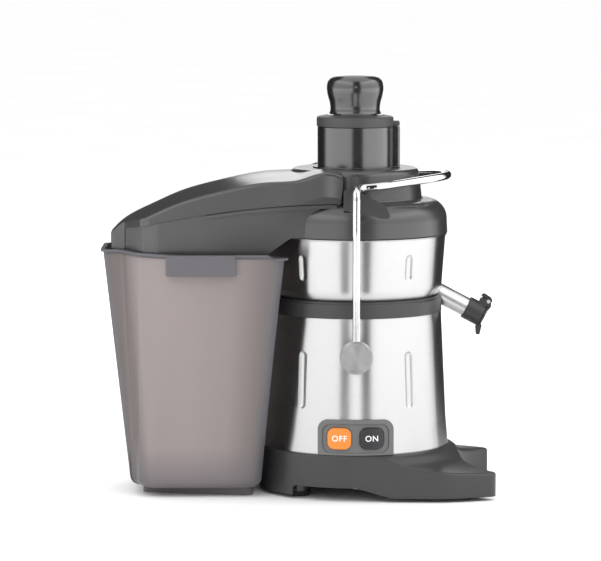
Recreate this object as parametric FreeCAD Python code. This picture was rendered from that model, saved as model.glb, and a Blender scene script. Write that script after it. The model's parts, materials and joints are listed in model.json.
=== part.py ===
"""A centrifugal juicer: a motor stand with a steel bowl, a lid with a pulp chute, a pulp container and a locking bail.

Millimetres, +Z up. Everything is drawn about the motor's vertical axis, with the front at -Y and the pulp container at
-X, and moved along X when it is written, so that the origin lies under the middle of the object on the surface that it
stands on.
"""

import FreeCAD
import Part
import math
import os

# ---- driving dimensions -------------------------------------------------------------------------------------------
MOTOR_X = 74.0            # the motor axis in the written frame
WALL = 2.5                # moulded walls
SHEET = 1.0               # steel sheet

FOOT_RADIUS = 15.5
FOOT_HEIGHT = 6.0
BASE_BOTTOM = 5.0         # the lowest edge of the base moulding
BASE_TOP = 60.0           # where the steel housing stands on the base
BASE_RADIUS = 124.0
BASE_BULGE = 129.0        # half width of the base where its prongs begin
PRONG_TIP_X = 178.1
NOTCH_RADIUS = 127.0      # the crescent between the prongs, where a jug stands
NOTCH_ROOT_X = 131.5

HOUSING_BOTTOM_RADIUS = 121.0
HOUSING_TOP_RADIUS = 111.5
BAND_BOTTOM = 232.0
BAND_TOP = 250.5
BAND_RADIUS = 112.0
DECK = 228.0              # underside of the deck that closes the motor housing

BOWL_RIM_RADIUS = 116.8
BOWL_RIM = 331.0
BOWL_FLOOR = 244.0
CHIMNEY_RADIUS = 21.0
CHIMNEY_TOP = 262.0

LID_BOTTOM = 333.5
LID_RADIUS = 119.0
LID_DECK = 376.5          # the flat ring outside the boss
BOSS_RADIUS = 86.4
BOSS_TOP = 416.7
BOSS_TOP_RADIUS = 81.8
CHUTE_HALF_WIDTH = 100.0
CHUTE_BOTTOM = 311.6
CHUTE_END_X = -313.0
COVER_END_X = -17.0

TUBE_RADIUS = 48.5
TUBE_TOP = 469.0
TUBE_BOTTOM = 276.0
TUBE_WALL = 2.8
PUSHER_TOP = 538.0

PIVOT_Z = 185.0
BAIL_Y = 125.5
BAIL_ROD_RADIUS = 5.1
KNOB_RADIUS = 21.0
OUTER_Y = 132.5           # the faces of the pivot knobs, the widest part across

RIM_Z = 314.5             # container rim
RIM_LOW_Z = 309.8         # container rim on the side that faces the machine, under the chute
CONTAINER_LEFT_X = -323.0
CONTAINER_RIGHT_X = -87.0
CONTAINER_HALF_WIDTH = 124.0
CONTAINER_TAPER = 0.1153  # how much a wall leans in for each unit of height
CONTAINER_HOLLOW = 144.0  # radius about the motor axis of the wall that faces the machine
CONTAINER_FLOOR = 11.0

SPOUT_X = 114.3           # a point on the spout's axis
SPOUT_Z = 251.0
SPOUT_SLOPE = 28.0
SPOUT_RADIUS = 12.35

SHAFT_RADIUS = 6.0
ROTOR_RADIUS = 34.6
STATOR_RADIUS = 66.0
STATOR_BOTTOM = 112.0
STATOR_TOP = 172.0
SIEVE_FLOOR = 268.0
SIEVE_TOP = 329.0

UP = FreeCAD.Vector(0, 0, 1)
ORIGIN = FreeCAD.Vector(0, 0, 0)


# ---- outlines and simple solids -----------------------------------------------------------------------------------
def vec(x, y, z):
    return FreeCAD.Vector(x, y, z)


def polar(radius, degrees, z=0.0):
    angle = math.radians(degrees)
    return vec(radius * math.cos(angle), radius * math.sin(angle), z)


def rounded_path(corners, closed):
    """Straight runs through the corners, each (point, radius), with a tangent arc at every corner that has a radius."""
    count = len(corners)
    trimmed = []
    for i, (point, radius) in enumerate(corners):
        if radius <= 0 or (not closed and i in (0, count - 1)):
            trimmed.append((point, None, point))
            continue
        back = (corners[i - 1][0] - point).normalize()
        ahead = (corners[(i + 1) % count][0] - point).normalize()
        half = back.getAngle(ahead) / 2
        reach = radius / math.tan(half)
        middle = (back + ahead).normalize() * (radius / math.sin(half) - radius)
        trimmed.append((point + back * reach, point + middle, point + ahead * reach))
    edges = []
    for i in range(count if closed else count - 1):
        start, middle, end = trimmed[i]
        if middle is not None:
            edges.append(Part.Arc(start, middle, end).toShape())
        follow = trimmed[(i + 1) % count][0]
        if (follow - end).Length > 1e-6:
            edges.append(Part.makeLine(end, follow))
    return Part.Wire(edges)


def corner_list(points, place):
    """Points (a, b) or (a, b, radius), placed in space by a function of a and b."""
    return [(place(p[0], p[1]), p[2] if len(p) > 2 else 0.0) for p in points]


def plan_wire(points, z=0.0):
    return rounded_path(corner_list(points, lambda x, y: vec(x, y, z)), True)


def plan_solid(points, low, high):
    return Part.Face(plan_wire(points, low)).extrude(vec(0, 0, high - low))


def side_solid(points, y_low, y_high):
    """A profile of (x, z) points extruded along Y."""
    wire = rounded_path(corner_list(points, lambda x, z: vec(x, y_low, z)), True)
    return Part.Face(wire).extrude(vec(0, y_high - y_low, 0))


def spun(points):
    """A profile of (radius, z) points turned about the motor axis."""
    wire = rounded_path(corner_list(points, lambda r, z: vec(r, 0, z)), True)
    return Part.Face(wire).revolve(ORIGIN, UP, 360)


def cylinder(radius, low, high, x=0.0, y=0.0):
    return Part.makeCylinder(radius, high - low, vec(x, y, low), UP)


def ring(outer, inner, low, high, x=0.0, y=0.0):
    return cylinder(outer, low, high, x, y).cut(cylinder(inner, low - 1, high + 1, x, y))


def rod(start, end, radius):
    return Part.makeCylinder(radius, (end - start).Length, start, end - start)


def box(x, y, z):
    """A box from its (low, high) pairs."""
    return Part.makeBox(x[1] - x[0], y[1] - y[0], z[1] - z[0], vec(x[0], y[0], z[0]))


def fused(shapes):
    first = shapes[0]
    return first.multiFuse(shapes[1:]).removeSplitter() if len(shapes) > 1 else first


def mirrored(shape):
    """The same shape on the other side of the plane Y = 0."""
    return shape.mirror(ORIGIN, vec(0, 1, 0))


def both_sides(shape):
    return [shape, mirrored(shape)]


def turned(shape, degrees):
    copy = shape.copy()
    copy.rotate(ORIGIN, UP, degrees)
    return copy


def around(shape, count, start=0.0):
    return [turned(shape, start + i * 360.0 / count) for i in range(count)]


def both_halves(half):
    """A closed outline, given as (x, y, radius) points on the -Y side running from -X to +X, and mirrored across Y = 0."""
    return list(half) + [(p[0], -p[1]) + tuple(p[2:]) for p in reversed(half)]


def edges_where(shape, test):
    """Edges whose centre of mass passes a test."""
    return [edge for edge in shape.Edges if test(edge.CenterOfMass, edge)]


def write(name, shape):
    solids = shape.Solids
    placed = Part.makeCompound(solids) if len(solids) > 1 else solids[0]
    placed = placed.translated(vec(MOTOR_X, 0, 0))
    placed.exportStep(os.path.join("parts", name + ".step"))
    volume = sum(solid.Volume for solid in solids)
    print("%-22s solids %3d  volume %10.0f  valid %s" % (name, len(solids), volume, placed.isValid()))


# ---- stand ---------------------------------------------------------------------------------------------------------
BASE_WALL = 3.5
BASE_HOLE = 108.0         # the opening under the motor
PLATE_LOW = 19.0
PLATE_HIGH = 21.0
FEET = [(-72.6, -62.5), (-72.6, 62.5), (136.0, -86.0), (136.0, 86.0)]
BASE_SCREWS = [polar(114, 160), polar(114, 200), polar(115, 90), polar(115, 270), vec(155, -97, 0), vec(155, 97, 0)]
GLAND_X = -20.0
GLAND_Z = 40.0


def flare_zone(inset):
    """The space under the stand's top, which is flat under the housing and falls away outside it."""
    drops = [(121.8, 0), (131.5, 5.5), (139, 12.5), (156, 19), (178, 22.5), (215, 26)]
    top = BASE_TOP - inset
    flare = Part.BSplineCurve()
    flare.interpolate([vec(r, 0, top - d) for r, d in drops])
    corners = [vec(215, 0, top - 26), vec(215, 0, -20), vec(0, 0, -20), vec(0, 0, top), vec(121.8, 0, top)]
    lines = [Part.makeLine(a, b) for a, b in zip(corners, corners[1:])]
    return Part.Face(Part.Wire([flare.toShape()] + lines)).revolve(ORIGIN, UP, 360)


def base_disc(inset):
    return cylinder(BASE_RADIUS - inset, BASE_BOTTOM - inset * 3, BASE_TOP).common(flare_zone(inset))


def base_prongs(inset):
    """The two prongs, from the disc's widest line to their tips, with a crescent between them."""
    half = [(-5.8, -BASE_RADIUS + inset), (118, -BASE_BULGE + inset, 120), (PRONG_TIP_X - inset, -108 + inset, 12 - inset)]
    plan = plan_solid(both_halves(half), BASE_BOTTOM - inset * 3, BASE_TOP)
    notch = cylinder(NOTCH_RADIUS + inset, -30, 100, NOTCH_ROOT_X + NOTCH_RADIUS)
    return plan.common(flare_zone(inset)).cut(notch)


def base():
    prongs = base_prongs(0)
    tips = edges_where(prongs, lambda c, e: c.x > 177 and abs(c.y) < 98.5 and e.BoundBox.ZLength > 20)
    prongs = prongs.makeFillet(5.0, tips)
    prongs = prongs.makeFillet(4.0, edges_where(prongs, lambda c, e: c.z > 30 and is_rim(e)))
    disc = base_disc(0)
    disc = disc.makeFillet(1.6, edges_where(disc, lambda c, e: c.z > 50 and e.BoundBox.ZMax < BASE_TOP - 0.1))
    outer = fused([disc, prongs])
    cavity = fused([base_disc(BASE_WALL), base_prongs(BASE_WALL)])
    shell = outer.cut(cavity).cut(cylinder(BASE_HOLE, BASE_BOTTOM, BASE_TOP + 1))
    arch = side_solid([(-80, 0), (-80, 18, 5), (0, 18, 25), (46, BASE_BOTTOM), (46, 0)], -140, -60)
    shell = shell.cut(fused(both_sides(arch)))
    posts = [cylinder(5.5, PLATE_HIGH, BASE_TOP, p.x, p.y).common(outer) for p in BASE_SCREWS]
    shell = fused([shell] + posts)
    for p in BASE_SCREWS:
        shell = shell.cut(cylinder(2.0, PLATE_LOW, 36, p.x, p.y))
    gland_hole = Part.makeCylinder(8.0, 40, vec(GLAND_X, 108, GLAND_Z), vec(0, 1, 0))
    return shell.cut(gland_hole)


def is_rim(edge):
    """An edge along the outside of the prongs' top, rather than an upright or a line inside the stand."""
    box_of = edge.BoundBox
    middle = edge.CenterOfMass
    upright = box_of.ZLength > 10 and box_of.XLength + box_of.YLength < 1
    inside = middle.x < 1 or math.hypot(middle.x, middle.y) < 123.5 or abs(middle.y) < 1
    return not upright and not inside


def base_plate():
    inset = BASE_WALL + 0.4
    block = fused([base_disc(inset), base_prongs(inset)])
    plate = block.common(box((-300, 300), (-300, 300), (PLATE_LOW, PLATE_HIGH)))
    slot = plan_solid([(38, -3.5, 3.4), (82, -3.5, 3.4), (82, 3.5, 3.4), (38, 3.5, 3.4)], 0, 40)
    plate = plate.cut(fused(around(slot, 16)))
    for p in BASE_SCREWS:
        plate = plate.cut(cylinder(2.2, 0, 40, p.x, p.y))
    return plate


def base_screws():
    screws = []
    for p in BASE_SCREWS:
        head = cylinder(4.0, PLATE_LOW - 2.5, PLATE_LOW, p.x, p.y)
        screws.append(fused([head, cylinder(1.95, PLATE_LOW - 2.5, 34, p.x, p.y)]))
    return Part.makeCompound(screws)


def foot_spacers():
    return Part.makeCompound([cylinder(13.5, FOOT_HEIGHT, PLATE_LOW, x, y) for x, y in FEET])


def rubber_feet():
    feet = []
    for x, y in FEET:
        foot = Part.makeCone(FOOT_RADIUS - 1.5, FOOT_RADIUS, FOOT_HEIGHT, vec(x, y, 0), UP)
        feet.append(foot.cut(cylinder(4, -1, 3, x, y)))
    return Part.makeCompound(feet)


def cord_gland():
    axis = vec(0, 1, 0)
    body = Part.makeCylinder(7.8, 14, vec(GLAND_X, 112, GLAND_Z), axis)
    collar = Part.makeCylinder(11.0, 8.5, vec(GLAND_X, 119, GLAND_Z), axis).cut(cylinder(BASE_RADIUS + 0.05, 0, 90))
    nose = Part.makeCone(9.5, 7.5, 4.5, vec(GLAND_X, 127.5, GLAND_Z), axis)
    bore = Part.makeCylinder(4.0, 60, vec(GLAND_X, 100, GLAND_Z), axis)
    return fused([body, collar, nose]).cut(bore)


# ---- motor housing -------------------------------------------------------------------------------------------------
GROOVE_ANGLES = (-126, -54, 54, 126)
GROOVE_TOOL = 7.3
GROOVE_DEPTH = 2.6


def pressed_tools(low, high, swell):
    """Rounded bars, each given by its two ends (surface radius, z), that press the oblong grooves into a steel wall."""
    tools = []
    off = GROOVE_TOOL - GROOVE_DEPTH
    for angle in GROOVE_ANGLES:
        a, b = polar(low[0] + off, angle, low[1]), polar(high[0] + off, angle, high[1])
        radius = GROOVE_TOOL + swell
        ball_a, ball_b = Part.makeSphere(radius, a), Part.makeSphere(radius, b)
        tools.append(fused([rod(a, b, radius), ball_a, ball_b]))
    return tools


def housing_block(offset, low, high):
    top = HOUSING_TOP_RADIUS + offset
    return spun([(0, low), (HOUSING_BOTTOM_RADIUS + offset, low), (118.0 + offset, 92, 160), (top, high), (0, high)])


def motor_housing():
    outer = housing_block(0, BASE_TOP, BAND_BOTTOM)
    inner = housing_block(-SHEET, BASE_TOP + SHEET, BAND_BOTTOM + 1)
    low, high = (116.5, 122), (113.4, 183)
    for tool in pressed_tools(low, high, 0.0):
        outer = outer.cut(tool)
    for tool in pressed_tools(low, high, SHEET):
        inner = inner.cut(tool)
    shell = outer.cut(inner).cut(cylinder(112, BASE_TOP - 1, BASE_TOP + 2))
    for stud in both_sides(rod(vec(0, -140, PIVOT_Z), vec(0, -90, PIVOT_Z), 5.2)):
        shell = shell.cut(stud)
    return shell.cut(box((-41, 41), (-140, -90), (66, 97)))


def switch_outline(x_low, x_high, z_low, z_high, radius, y_low=-135, y_high=-95):
    corners = [(x_low, z_low, radius), (x_low, z_high, radius), (x_high, z_high, radius), (x_high, z_low, radius)]
    return side_solid(corners, y_low, y_high)


BUTTONS = {"off": (-36.4, -6.0), "on": (4.8, 35.2)}
BUTTON_Z = (67.7, 94.5)
BUTTON_CORNER = 9.0
BUTTON_GAP = 0.4          # around a button in its hole


def switch_panel():
    corners = [(-48.5, BASE_TOP), (-48.5, 104.7, 13), (47.8, 104.7, 13), (47.8, BASE_TOP)]
    outline = side_solid(corners, -135, -95)
    panel = housing_block(3.0, BASE_TOP, BAND_BOTTOM).cut(housing_block(0.02, BASE_TOP, BAND_BOTTOM)).common(outline)
    recess = switch_outline(-43, 42, 62.5, 99.5, 11)
    face = housing_block(4.0, BASE_TOP, BAND_BOTTOM).cut(housing_block(1.3, BASE_TOP, BAND_BOTTOM))
    panel = panel.cut(face.common(recess))
    for x_low, x_high in BUTTONS.values():
        z_low, z_high = BUTTON_Z[0] - BUTTON_GAP, BUTTON_Z[1] + BUTTON_GAP
        hole = switch_outline(x_low - BUTTON_GAP, x_high + BUTTON_GAP, z_low, z_high, BUTTON_CORNER + BUTTON_GAP)
        panel = panel.cut(hole)
    return panel


def button(name):
    x_low, x_high = BUTTONS[name]
    outline = switch_outline(x_low, x_high, BUTTON_Z[0], BUTTON_Z[1], BUTTON_CORNER, y_high=-108)
    cap = outline.common(housing_block(5.2, BASE_TOP, BAND_BOTTOM))
    front = edges_where(cap, lambda c, e: c.y < -113 and e.BoundBox.YLength < 12)
    front = [e for e in front if e.BoundBox.YMax < -112]
    return cap.makeFillet(1.2, front)


def switch_block():
    body = box((-37, 37), (-104, -78), (66, 96))
    lips = [box((-37, 37), (-105.5, -102), (63, 66)), box((-37, 37), (-105.5, -102), (96, 99))]
    return fused([body] + lips)


SEAT_JOINT_RADIUS = 97.0  # where the drip plate meets the seat ring


def bowl_seat():
    """The tray that the bowl drops into, cut away under the spout."""
    outer = [(14, 238), (105, 238), (105, DECK), (110.3, DECK), (110.3, BAND_BOTTOM), (BAND_RADIUS, BAND_BOTTOM, 0.8)]
    inner = [(BAND_RADIUS, BAND_TOP, 1.2), (110.2, BAND_TOP), (110.2, 253, 0.8), (107.4, 253, 0.5)]
    seat = [(104.4, 250.6), (SEAT_JOINT_RADIUS, 243.8), (19.5, 243.8), (19.5, 249), (14, 249)]
    ringed = spun(outer + inner + seat)
    notch = rod(spout_point(-30), spout_point(40), SPOUT_RADIUS + 1.2)
    above = notch.translated(vec(0, 0, 12))
    return ringed.cut(notch).cut(above).cut(notch.translated(vec(0, 0, 6)))


def bowl_seat_ring():
    return bowl_seat().cut(cylinder(SEAT_JOINT_RADIUS, DECK, BOWL_FLOOR + 10))


def drip_plate():
    return bowl_seat().common(cylinder(SEAT_JOINT_RADIUS, DECK, BOWL_FLOOR + 10))


# ---- bowl and spout ------------------------------------------------------------------------------------------------
def spout_point(t, side=0.0):
    """A point t along the spout's axis from its reference point, and side above the axis, square to it."""
    slope = math.radians(SPOUT_SLOPE)
    x = SPOUT_X + t * math.cos(slope) + side * math.sin(slope)
    return vec(x, 0, SPOUT_Z - t * math.sin(slope) + side * math.cos(slope))


def bowl_block(inset, top=BOWL_RIM):
    floor = BOWL_FLOOR + inset
    return spun([(0, floor), (110.6 - inset, floor, 26 - inset), (BOWL_RIM_RADIUS - inset, top), (0, top)])


def bowl():
    outer, inner = bowl_block(0), bowl_block(SHEET, BOWL_RIM + 5)
    low, high = (113.4, 284), (115.0, 306)
    for tool in pressed_tools(low, high, 0.0):
        outer = outer.cut(tool)
    for tool in pressed_tools(low, high, SHEET):
        inner = inner.cut(tool)
    rim = ring(118.4, BOWL_RIM_RADIUS - SHEET, BOWL_RIM - 0.2, BOWL_RIM + SHEET)
    chimney = cylinder(CHIMNEY_RADIUS, BOWL_FLOOR, CHIMNEY_TOP)
    shell = fused([outer.cut(inner), rim, chimney]).cut(cylinder(CHIMNEY_RADIUS - SHEET, 200, 300))
    return shell.cut(rod(spout_point(-30), spout_point(20), SPOUT_RADIUS - SHEET))


def spout_tube():
    outer = rod(spout_point(-26), spout_point(52), SPOUT_RADIUS)
    inner = rod(spout_point(-40), spout_point(60), SPOUT_RADIUS - SHEET)
    return outer.cut(inner).cut(bowl_block(0))


SLEEVE_START = 33.0
SLEEVE_END = 56.0
SLEEVE_RADIUS = 14.8
HINGE_X = 172.6
HINGE_Z = 243.2


def spout_sleeve():
    sleeve = rod(spout_point(SLEEVE_START), spout_point(SLEEVE_END), SLEEVE_RADIUS)
    ends = edges_where(sleeve, lambda c, e: e.Length > 60)
    sleeve = sleeve.makeFillet(1.0, ends)
    ears = []
    hinge = vec(HINGE_X, 0, HINGE_Z)
    for y in (-8.5, 5.5):
        ear_corners = [(160, 240), (163, 247, 3), (HINGE_X + 3.4, 247.5, 3.4), (HINGE_X + 3.4, 238.8, 3), (168, 236)]
        ears.append(side_solid(ear_corners, y, y + 3))
    sleeve = fused([sleeve] + ears)
    sleeve = sleeve.cut(rod(spout_point(0), spout_point(52), SPOUT_RADIUS))
    sleeve = sleeve.cut(rod(spout_point(0), spout_point(70), SPOUT_RADIUS - 1.6))
    return sleeve.cut(rod(hinge - vec(0, 12, 0), hinge + vec(0, 12, 0), 1.5))


def flap_pin():
    hinge = vec(HINGE_X, 0, HINGE_Z)
    pin = rod(hinge - vec(0, 9.4, 0), hinge + vec(0, 9.4, 0), 1.5)
    heads = [rod(hinge + vec(0, y, 0), hinge + vec(0, y + 0.9, 0), 2.4) for y in (-9.4, 8.5)]
    return fused([pin] + heads)


def spout_flap():
    plate = rod(spout_point(SLEEVE_END + 0.5), spout_point(SLEEVE_END + 3.5), SLEEVE_RADIUS - 0.4)
    tail = [(155.8, 209.5), (156.5, 200.5, 1.4), (161.2, 200, 1.8), (164.4, 214, 2), (158, 214)]
    arm = [(169.6, 233.5), (HINGE_X - 3, HINGE_Z + 1, 1), (HINGE_X + 3.6, HINGE_Z + 2.6, 3.2), (176.2, 236, 2), (172, 230.5)]
    tab = [(163.2, 250.2, 0.8), (167, 253.6, 2.4), (177.4, 246.5, 4), (178, 242, 1), (173, 241.2, 2), (169.8, 246, 3)]
    arm_part = side_solid(arm, -5.2, 5.2)
    sleeve_zone = rod(spout_point(SLEEVE_START - 2), spout_point(SLEEVE_END + 0.5), SLEEVE_RADIUS + 0.4)
    solids = [plate, side_solid(tail, -7, 7), arm_part, side_solid(tab, -5.2, 5.2)]
    flap = fused(solids).cut(sleeve_zone)
    hinge = vec(HINGE_X, 0, HINGE_Z)
    return flap.cut(rod(hinge - vec(0, 12, 0), hinge + vec(0, 12, 0), 1.55))


# ---- lid and chute -------------------------------------------------------------------------------------------------
LID_WALL = 2.8
SPLIT_LINE = [(-330, 333), (-252, 352), (-171, 366), (-91, 374.5), (10, LID_DECK)]
RIDGE_LINE = [(-330, 322), (-306, 343), (-285, 357.5), (-263, 368), (-226, 384.5), (-187, 396), (-148, 405),
              (-109, 411), (-71, 414), (-10, 415.5)]
CROWN = 7.0               # how much lower the cover's edges are than its ridge
COVER_EDGE = 98.0         # half width of the cover at its top edge
COVER_SKIRT = 103.0       # half width of the cover at its lower edge
COVER_ROUND = 5.0
NOSE_X = -296.0           # the chute's nose lies beyond this
NOSE_STEP = 1.5           # the cover's nose reaches this much further in
RAMP_TOP_RADIUS = 129.5
RAMP_FOOT_RADIUS = 150.5


def chute_plan(grow, left, right):
    """The chute's plan outline: parallel sides, slanted shoulders and a narrower nose."""
    half = [(left, -36 - grow, 7), (NOSE_X, -44 - grow, 4), (-270 - grow, -89 - grow, 9),
            (-253, -CHUTE_HALF_WIDTH - grow, 14), (right, -CHUTE_HALF_WIDTH - grow)]
    return both_halves(half)


def below_split(drop):
    """Everything under the line where the cover meets the lid."""
    line = Part.BSplineCurve()
    line.interpolate([vec(x, -200, z + drop) for x, z in SPLIT_LINE])
    a, b = vec(-330, -200, SPLIT_LINE[0][1] + drop), vec(10, -200, SPLIT_LINE[-1][1] + drop)
    low_a, low_b = vec(-330, -200, 250), vec(10, -200, 250)
    wire = Part.Wire([line.toShape(), Part.makeLine(b, low_b), Part.makeLine(low_b, low_a), Part.makeLine(low_a, a)])
    return Part.Face(wire).extrude(vec(0, 400, 0))


def dome_block(inset):
    side = [(0, LID_BOTTOM - inset), (119.2 - inset, LID_BOTTOM - inset), (117.3 - inset, LID_DECK - inset, 25 - inset)]
    boss = [(BOSS_RADIUS - inset, LID_DECK - inset, 2.5), (BOSS_TOP_RADIUS - inset, BOSS_TOP - inset, 8 - inset),
            (0, BOSS_TOP - inset)]
    return spun(side + boss)


def ramp_zone(lift):
    """The space under the ramp that carries pulp over the container's rim."""
    corners = [(0, 280), (RAMP_FOOT_RADIUS + 29, 280), (RAMP_FOOT_RADIUS, CHUTE_BOTTOM), (RAMP_TOP_RADIUS, LID_BOTTOM),
               (0, LID_BOTTOM)]
    return spun(corners).translated(vec(0, 0, lift))


def lid_lug():
    """A hook beside the boss: a stop, a seat for the bail and a ramp that the bail slides up."""
    seat = LID_DECK + 13.8
    profile = [(-16, 370), (-16, seat + 4.8, 2), (-5.7, seat + 4.8, 1.5), (-5.7, seat), (6.5, seat, 3), (14, 385.5, 6),
               (38, 373.5, 4), (43, 362), (30, 360)]
    return side_solid(profile, -113.5, -82)


def lid():
    column = plan_solid(chute_plan(0, NOSE_X - 3, -20), CHUTE_BOTTOM, 400)
    column = column.common(box((NOSE_X + NOSE_STEP, 0), (-200, 200), (CHUTE_BOTTOM, 400)))
    tongue = column.common(below_split(4)).common(cover_block(WALL + 0.2))
    chute = fused([column.common(below_split(0)), tongue])
    outer = fused([dome_block(0), chute.cut(ramp_zone(0))])
    opening = plan_solid(chute_plan(-LID_WALL, NOSE_X - 8, -60), CHUTE_BOTTOM - 10, 381).cut(ramp_zone(2.9))
    deck_gap = plan_solid(chute_plan(-LID_WALL, NOSE_X - 8, -22), LID_DECK, 400)
    shell = outer.cut(dome_block(LID_WALL)).cut(opening).cut(deck_gap.cut(cylinder(BOSS_RADIUS + 0.2, 300, 500)))
    bead = plan_solid(chute_plan(4.2, NOSE_X - 3, -24), 320, 400).common(below_split(-1.2)).cut(below_split(-5.5))
    bead = bead.cut(plan_solid(chute_plan(-1.0, NOSE_X - 8, -20), 300, 400))
    bead = bead.common(box((-190, -24), (-200, 200), (300, 400)))
    lugs = [lug.cut(dome_block(1.0)) for lug in both_sides(lid_lug())]
    shell = fused([shell, bead] + lugs)
    mouth = cylinder(TUBE_RADIUS + 0.1, 300, 500)
    return shell.cut(mouth)


def cover_block(inset):
    """The chute cover's outer form, or with an inset its inside: crowned across and arched along its length."""
    ridge = Part.BSplineCurve()
    ridge.interpolate([vec(x, 0, z - inset) for x, z in RIDGE_LINE])
    sections = []
    spread = COVER_SKIRT - inset
    edge = COVER_EDGE - inset
    for x, z in RIDGE_LINE:
        top, rim = z - inset, z - inset - CROWN
        foot, skirt = 300.0, rim - 30
        corners = [vec(x, -spread, foot), vec(x, -spread, skirt), vec(x, -edge, rim)]
        mirror = [vec(p.x, -p.y, p.z) for p in corners]
        arc = Part.Arc(corners[2], vec(x, 0, top), mirror[2]).toShape()
        lines = [Part.makeLine(corners[0], corners[1]), Part.makeLine(corners[1], corners[2]), arc,
                 Part.makeLine(mirror[2], mirror[1]), Part.makeLine(mirror[1], mirror[0]),
                 Part.makeLine(mirror[0], corners[0])]
        sections.append(Part.Wire(lines))
    arched = Part.makeLoft(sections, True, False)
    half = [(CHUTE_END_X + inset, -38 + inset, 8 - inset), (NOSE_X, -44.5 + inset, 4),
            (-272 + inset, -94 + inset, 8), (-254 + inset, -COVER_SKIRT + inset, 12),
            (COVER_END_X - inset, -COVER_SKIRT + inset, 3 - inset / 2)]
    return arched.common(plan_solid(both_halves(half), CHUTE_BOTTOM - inset, 440))


def is_cover_edge(edge):
    """A long upper edge of the cover, or the upper edge of its end by the boss."""
    extent = edge.BoundBox
    along = extent.XLength > 200 and extent.ZMin > 350
    across = extent.YLength > 150 and extent.ZMin > 400
    return along or across


def chute_cover():
    outer = cover_block(0)
    outer = outer.makeFillet(COVER_ROUND, edges_where(outer, lambda c, e: is_cover_edge(e)))
    outer = outer.cut(below_split(0).common(box((NOSE_X + NOSE_STEP, 20), (-200, 200), (250, 420))))
    lean = (BOSS_RADIUS - BOSS_TOP_RADIUS) / (BOSS_TOP - LID_DECK)
    reach = 53.5  # past the cover's highest point
    boss = Part.makeCone(BOSS_RADIUS + 0.1, BOSS_RADIUS + 0.1 - lean * reach, reach, vec(0, 0, LID_DECK), UP)
    foot = Part.makeCone(BOSS_RADIUS + 2.8, BOSS_RADIUS - 0.2, 3.0, vec(0, 0, LID_DECK), UP)
    return outer.cut(cover_block(WALL)).cut(fused([boss, foot])).cut(cylinder(111, 300, LID_DECK + 0.02))


def feed_tube():
    tube = cylinder(TUBE_RADIUS, TUBE_BOTTOM, TUBE_TOP)
    key = plan_solid([(40, -8, 0), (57.6, -8, 3), (57.6, 8, 3), (40, 8, 0)], BOSS_TOP + 0.2, TUBE_TOP)
    flange = ring(TUBE_RADIUS + 6, TUBE_RADIUS, BOSS_TOP, BOSS_TOP + 1.6)
    inside = cylinder(TUBE_RADIUS - TUBE_WALL, TUBE_BOTTOM - 1, TUBE_TOP + 1)
    keyway = box((40, 54.6), (-5.4, 5.4), (BOSS_TOP + 4, TUBE_TOP + 1))
    return fused([tube, key, flange]).cut(inside).cut(keyway)


def lid_seal():
    return ring(118.0, 113.0, BOWL_RIM + SHEET, LID_BOTTOM)


PUSHER_BOTTOM = 279.5
BARREL_RADIUS = 45.0


def pusher():
    knob = [(0, PUSHER_TOP, 0), (35.5, PUSHER_TOP, 13), (38.6, 517, 17), (30.2, 498, 15), (33.5, 484.6, 4)]
    collar = [(46, 482.6, 1), (49.4, 481, 2), (49.4, TUBE_TOP + 0.5, 0.8), (BARREL_RADIUS, TUBE_TOP + 0.5)]
    barrel = [(BARREL_RADIUS, PUSHER_BOTTOM + 4), (BARREL_RADIUS - WALL, PUSHER_BOTTOM + 4)]
    hollow = [(BARREL_RADIUS - WALL, 479), (30, 481), (27, 498, 10), (33.5, 517, 12), (31, 534.5, 8), (0, 534.5)]
    body = spun(knob + collar + barrel + hollow)
    tab = plan_solid([(44, -7.6, 0), (57.4, -7.6, 3), (57.4, 7.6, 3), (44, 7.6, 0)], TUBE_TOP + 0.5, 476.5)
    chamfered = tab.cut(side_solid([(52.5, 477), (58, 471.5), (58, 477)], -10, 10))
    key = box((44.2, 53.8), (-4.6, 4.6), (TUBE_TOP - 30, TUBE_TOP + 0.5))
    clear = cylinder(BARREL_RADIUS - WALL, 300, 478)
    return fused([body, fused([chamfered, key]).cut(clear)])


def pusher_foot():
    cap = [(0, PUSHER_BOTTOM), (BARREL_RADIUS, PUSHER_BOTTOM, 1.5), (BARREL_RADIUS, PUSHER_BOTTOM + 4),
           (BARREL_RADIUS - WALL, PUSHER_BOTTOM + 4), (BARREL_RADIUS - WALL, PUSHER_BOTTOM + 12),
           (BARREL_RADIUS - 5, PUSHER_BOTTOM + 12), (BARREL_RADIUS - 5, PUSHER_BOTTOM + 3), (0, PUSHER_BOTTOM + 3)]
    return spun(cap)


# ---- pulp container ------------------------------------------------------------------------------------------------
def container_plan(z, inset):
    """The container's outline at a height: a narrow nose on the left, slanted shoulders and long sides."""
    lean = CONTAINER_TAPER * (RIM_Z - z)
    left = CONTAINER_LEFT_X + lean + inset
    side = CONTAINER_HALF_WIDTH - lean - inset
    nose = 45 + 0.40 * lean - inset
    right = CONTAINER_RIGHT_X - 0.9 * lean - inset
    spread = 1 - 0.022 * lean
    shoulder = nose + (side - nose) * 0.63
    half = [(left, -nose, 8), (left + 24 * spread, -nose - 3 * spread, 8), (left + 49 * spread, -shoulder, 16 * spread),
            (left + 92 * spread, -side, 55 * spread), (right, -side, 22)]
    return plan_wire(both_halves(half), z)


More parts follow.
